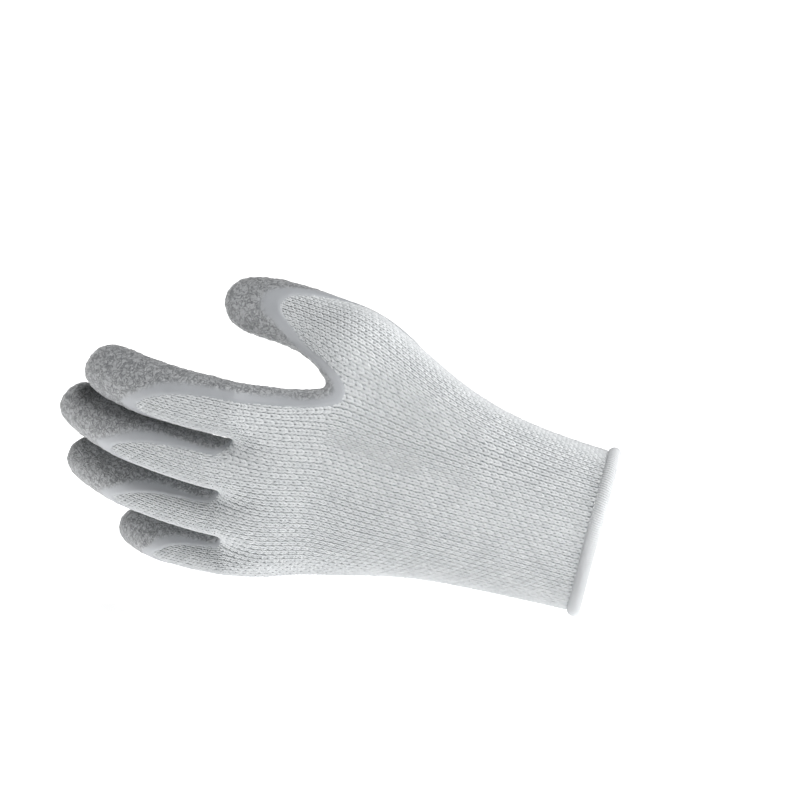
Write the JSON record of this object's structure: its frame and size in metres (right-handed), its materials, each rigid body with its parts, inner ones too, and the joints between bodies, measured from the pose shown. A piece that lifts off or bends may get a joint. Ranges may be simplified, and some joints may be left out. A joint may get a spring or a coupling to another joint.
{
  "type": "protective glove",
  "caption": "Left-hand work glove in its worn form: seamless knitted liner open at the wrist, grey crinkle latex skin over palm and fingertips, rolled cuff hem.",
  "frame": {"origin": "centre of the wrist opening, in the plane of the cuff's end, where a wrist holds the glove up", "axes": "+X points out of the wrist opening, so the fingers run along -X; +Z is the thumb side; -Y is the back of the hand and +Y the palm"},
  "size_m": [0.2335, 0.0708, 0.1504],
  "materials": {
    "knit_yarn": "plain seamless knit, matte",
    "crinkle_latex": "crinkled latex, soft satin",
    "hem_yarn": "overlocked yarn over elastic, matte"
  },
  "bodies": {
    "root": {"knit_liner": "knit_yarn", "palm_coating": "crinkle_latex", "cuff_hem": "hem_yarn"}
  },
  "joints": []
}
